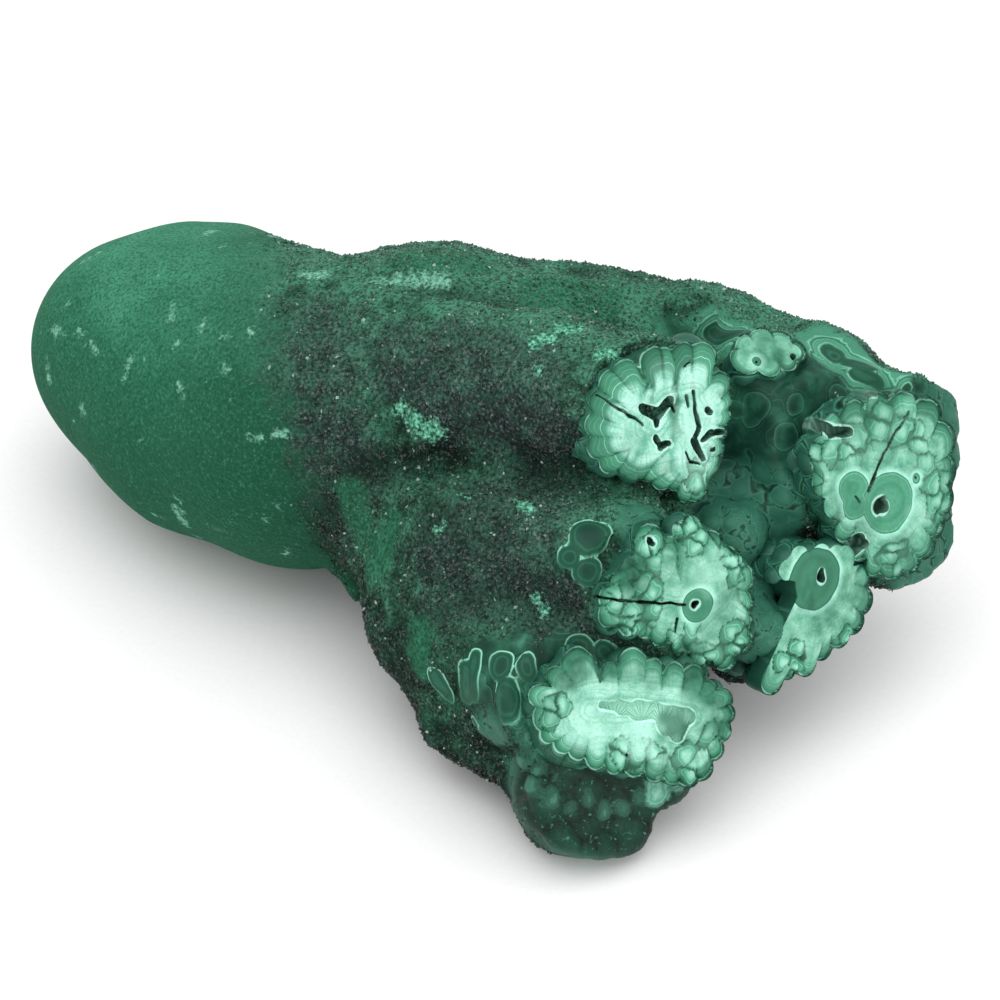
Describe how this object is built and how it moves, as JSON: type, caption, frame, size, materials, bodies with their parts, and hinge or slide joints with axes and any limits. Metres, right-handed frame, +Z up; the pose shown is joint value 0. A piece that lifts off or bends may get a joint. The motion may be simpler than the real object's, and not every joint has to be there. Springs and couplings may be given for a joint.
{
  "type": "malachite specimen",
  "caption": "Natural malachite piece: a rounded velvety stump that divides into a bundle of stalactite fingers broken off to show banded sections.",
  "frame": {"origin": "centre of the bounding box in plan, at the level of the three small flats it rests on", "axes": "+X along the longest extent, from the rounded stump to the broken fingers; +Y to the back, away from the broken faces; +Z up"},
  "size_m": [0.1328, 0.1022, 0.0576],
  "materials": {
    "malachite": "velvety green crust with polished-looking banded breaks"
  },
  "bodies": {
    "root": {"malachite_stone": "malachite"}
  },
  "joints": []
}
